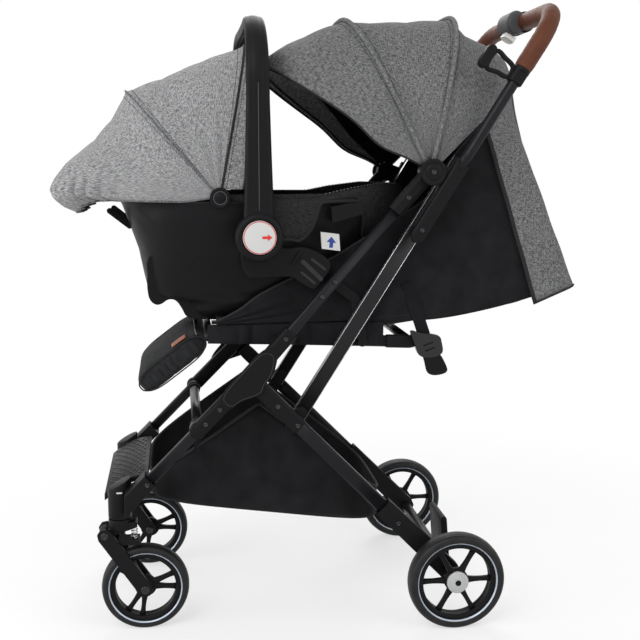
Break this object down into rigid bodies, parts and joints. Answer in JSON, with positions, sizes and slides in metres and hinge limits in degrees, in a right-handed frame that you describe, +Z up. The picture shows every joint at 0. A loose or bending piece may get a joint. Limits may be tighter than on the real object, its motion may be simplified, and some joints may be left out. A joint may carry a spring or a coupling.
{
  "type": "travel system stroller",
  "caption": "Folding four-wheeled stroller with reclined seat, canopy, basket and leather-look push handle, carrying an infant seat with hood and swinging handle.",
  "frame": {"origin": "on the floor, under the middle of the whole stroller's bounding box", "axes": "+Z up, the front towards -Y, the stroller's own left side towards +X"},
  "size_m": [0.477, 0.8883, 1.0749],
  "materials": {
    "black_tube": "satin black painted aluminium tube",
    "black_plastic": "fine-grained matte black plastic",
    "tyre": "matte black foam tyre",
    "spring_steel": "bright zinc-plated spring steel",
    "silver": "bright-edged extruded aluminium with a black face",
    "black_fabric": "plain-woven black polyester",
    "dark_fabric": "quilted charcoal fabric",
    "grey_fabric": "grey melange linen-look weave",
    "leather": "brown leather-look grip with fine grain",
    "pale_plastic": "off-white plastic"
  },
  "bodies": {
    "frame": {"swivel_housing_left": "black_plastic", "swivel_housing_right": "black_plastic", "front_leg_left": "black_tube", "front_leg_right": "black_tube", "knee_joint_left": "black_plastic", "knee_joint_right": "black_plastic", "hub_fitting_left": "black_plastic", "hub_fitting_right": "black_plastic", "front_crossbar": "black_tube", "footboard": "black_plastic", "basket": "black_fabric", "seat_frame": "black_tube", "seat_pad": "dark_fabric", "side_fabric_left": "black_fabric", "side_fabric_right": "black_fabric", "rear_panel": "grey_fabric", "strap": "black_fabric", "buckle": "black_plastic", "canopy": "grey_fabric"},
    "rear_frame": {"rear_leg_left": "black_tube", "rear_leg_right": "black_tube", "rear_foot_left": "black_plastic", "rear_foot_right": "black_plastic", "rear_axle": "black_tube"},
    "brake": {"brake_pedal": "black_plastic"},
    "rear_wheel_left": {"rear_rim_left": "black_plastic", "rear_tyre_left": "tyre"},
    "rear_wheel_right": {"rear_rim_right": "black_plastic", "rear_tyre_right": "tyre"},
    "caster_left": {"caster_yoke_left": "black_plastic", "suspension_spring_left": "spring_steel"},
    "caster_right": {"caster_yoke_right": "black_plastic", "suspension_spring_right": "spring_steel"},
    "caster_arm_left": {"caster_fork_left": "black_plastic"},
    "caster_arm_right": {"caster_fork_right": "black_plastic"},
    "front_wheel_left": {"front_rim_left": "black_plastic", "front_tyre_left": "tyre"},
    "front_wheel_right": {"front_rim_right": "black_plastic", "front_tyre_right": "tyre"},
    "guide": {"handle_guide_left": "black_plastic", "handle_guide_right": "black_plastic"},
    "handle": {"handle_rail_left": "silver", "handle_rail_right": "silver", "handle_sleeve_left": "black_plastic", "handle_sleeve_right": "black_plastic", "push_handle": "black_tube", "handle_grip": "leather", "button_housing": "black_plastic"},
    "button": {"fold_button": "pale_plastic"},
    "canopy_front": {"canopy_front_bow": "black_plastic"},
    "canopy_middle": {"canopy_middle_bow": "black_plastic"},
    "leg_support": {"legrest": "dark_fabric"},
    "recliner": {"backrest": "dark_fabric"},
    "carrier": {"carrier_shell": "black_plastic", "carrier_liner": "dark_fabric", "carrier_hood": "grey_fabric"},
    "carrying_handle": {"carrier_handle": "black_plastic"},
    "release_left": {"carrier_button_left": "pale_plastic"},
    "release_right": {"carrier_button_right": "pale_plastic"},
    "hood_front": {"carrier_hood_bow": "black_plastic"}
  },
  "joints": [
    {"name": "frame_fold", "type": "hinge", "parent": "frame", "child": "rear_frame", "pos_m": [0, -0.10694, 0.42596], "axis": [-1, 0, 0], "range_deg": [0, 60], "deforming": ["basket"]},
    {"name": "guide_swing", "type": "hinge", "parent": "frame", "child": "guide", "pos_m": [0, 0.181, 0.785], "axis": [-1, 0, 0], "range_deg": [0, 7.2]},
    {"name": "handle_slide", "type": "slide", "parent": "guide", "child": "handle", "axis": [0, -0.5347, -0.845], "range_m": [0, 0.065]},
    {"name": "brake_press", "type": "hinge", "parent": "rear_frame", "child": "brake", "pos_m": [0, 0.229, 0.08427], "axis": [-1, 0, 0], "range_deg": [0, 18]},
    {"name": "rear_wheel_left_spin", "type": "hinge", "parent": "rear_frame", "child": "rear_wheel_left", "pos_m": [0.221, 0.229, 0.08427], "axis": [1, 0, 0], "continuous": true},
    {"name": "rear_wheel_right_spin", "type": "hinge", "parent": "rear_frame", "child": "rear_wheel_right", "pos_m": [-0.221, 0.229, 0.08427], "axis": [1, 0, 0], "continuous": true},
    {"name": "caster_left_swivel", "type": "hinge", "parent": "frame", "child": "caster_left", "pos_m": [0.145, -0.345, 0.2], "axis": [0, 0, 1], "continuous": true},
    {"name": "caster_right_swivel", "type": "hinge", "parent": "frame", "child": "caster_right", "pos_m": [-0.145, -0.345, 0.2], "axis": [0, 0, 1], "continuous": true},
    {"name": "caster_left_suspension", "type": "hinge", "parent": "caster_left", "child": "caster_arm_left", "pos_m": [0.145, -0.371, 0.174], "axis": [1, 0, 0], "range_deg": [0, 7], "stiffness_Nm_per_rad": 90, "springref_deg": -6.88, "deforming": ["suspension_spring_left"]},
    {"name": "caster_right_suspension", "type": "hinge", "parent": "caster_right", "child": "caster_arm_right", "pos_m": [-0.145, -0.371, 0.174], "axis": [1, 0, 0], "range_deg": [0, 7], "stiffness_Nm_per_rad": 90, "springref_deg": -6.88, "deforming": ["suspension_spring_right"]},
    {"name": "front_wheel_left_spin", "type": "hinge", "parent": "caster_arm_left", "child": "front_wheel_left", "pos_m": [0.145, -0.305, 0.07436], "axis": [1, 0, 0], "continuous": true},
    {"name": "front_wheel_right_spin", "type": "hinge", "parent": "caster_arm_right", "child": "front_wheel_right", "pos_m": [-0.145, -0.305, 0.07436], "axis": [1, 0, 0], "continuous": true},
    {"name": "fold_button_press", "type": "slide", "parent": "handle", "child": "button", "axis": [0, 0.5347, 0.845], "range_m": [0, 0.004], "stiffness_N_per_m": 400, "springref_m": -0.003},
    {"name": "canopy_front_turn", "type": "hinge", "parent": "frame", "child": "canopy_front", "pos_m": [0, 0.181, 0.785], "axis": [-1, 0, 0], "range_deg": [0, 40], "deforming": ["canopy"]},
    {"name": "canopy_middle_turn", "type": "hinge", "parent": "frame", "child": "canopy_middle", "pos_m": [0, 0.181, 0.785], "axis": [-1, 0, 0], "range_deg": [0, 38.5]},
    {"name": "legrest_tilt", "type": "hinge", "parent": "frame", "child": "leg_support", "pos_m": [0, -0.188, 0.508], "axis": [1, 0, 0], "range_deg": [0, 35]},
    {"name": "backrest_recline", "type": "hinge", "parent": "frame", "child": "recliner", "pos_m": [0, 0.05, 0.52], "axis": [1, 0, 0], "range_deg": [0, 16], "deforming": ["side_fabric_left", "side_fabric_right", "rear_panel"]},
    {"name": "carrier_lift", "type": "slide", "parent": "frame", "child": "carrier", "axis": [0, -0.88, 0.475], "range_m": [0, 0.4]},
    {"name": "carrier_handle_swing", "type": "hinge", "parent": "carrier", "child": "carrying_handle", "pos_m": [0, -0.107, 0.6815], "axis": [1, 0, 0], "range_deg": [0, 60]},
    {"name": "release_left_press", "type": "slide", "parent": "carrying_handle", "child": "release_left", "axis": [-1, 0, 0], "range_m": [0, 0.0025], "stiffness_N_per_m": 500, "springref_m": -0.002},
    {"name": "release_right_press", "type": "slide", "parent": "carrying_handle", "child": "release_right", "axis": [1, 0, 0], "range_m": [0, 0.0025], "stiffness_N_per_m": 500, "springref_m": -0.002},
    {"name": "hood_turn", "type": "hinge", "parent": "carrier", "child": "hood_front", "pos_m": [0, -0.168, 0.744], "axis": [-1, 0, 0], "range_deg": [0, 32], "deforming": ["carrier_hood"]}
  ],
  "couplings": [
    {"joint": "guide_swing", "follows": "frame_fold", "ratio": 0.1153},
    {"joint": "handle_slide", "follows": "frame_fold", "m_per_rad": 0.0586},
    {"joint": "canopy_middle_turn", "follows": "canopy_front_turn", "ratio": 0.95}
  ]
}
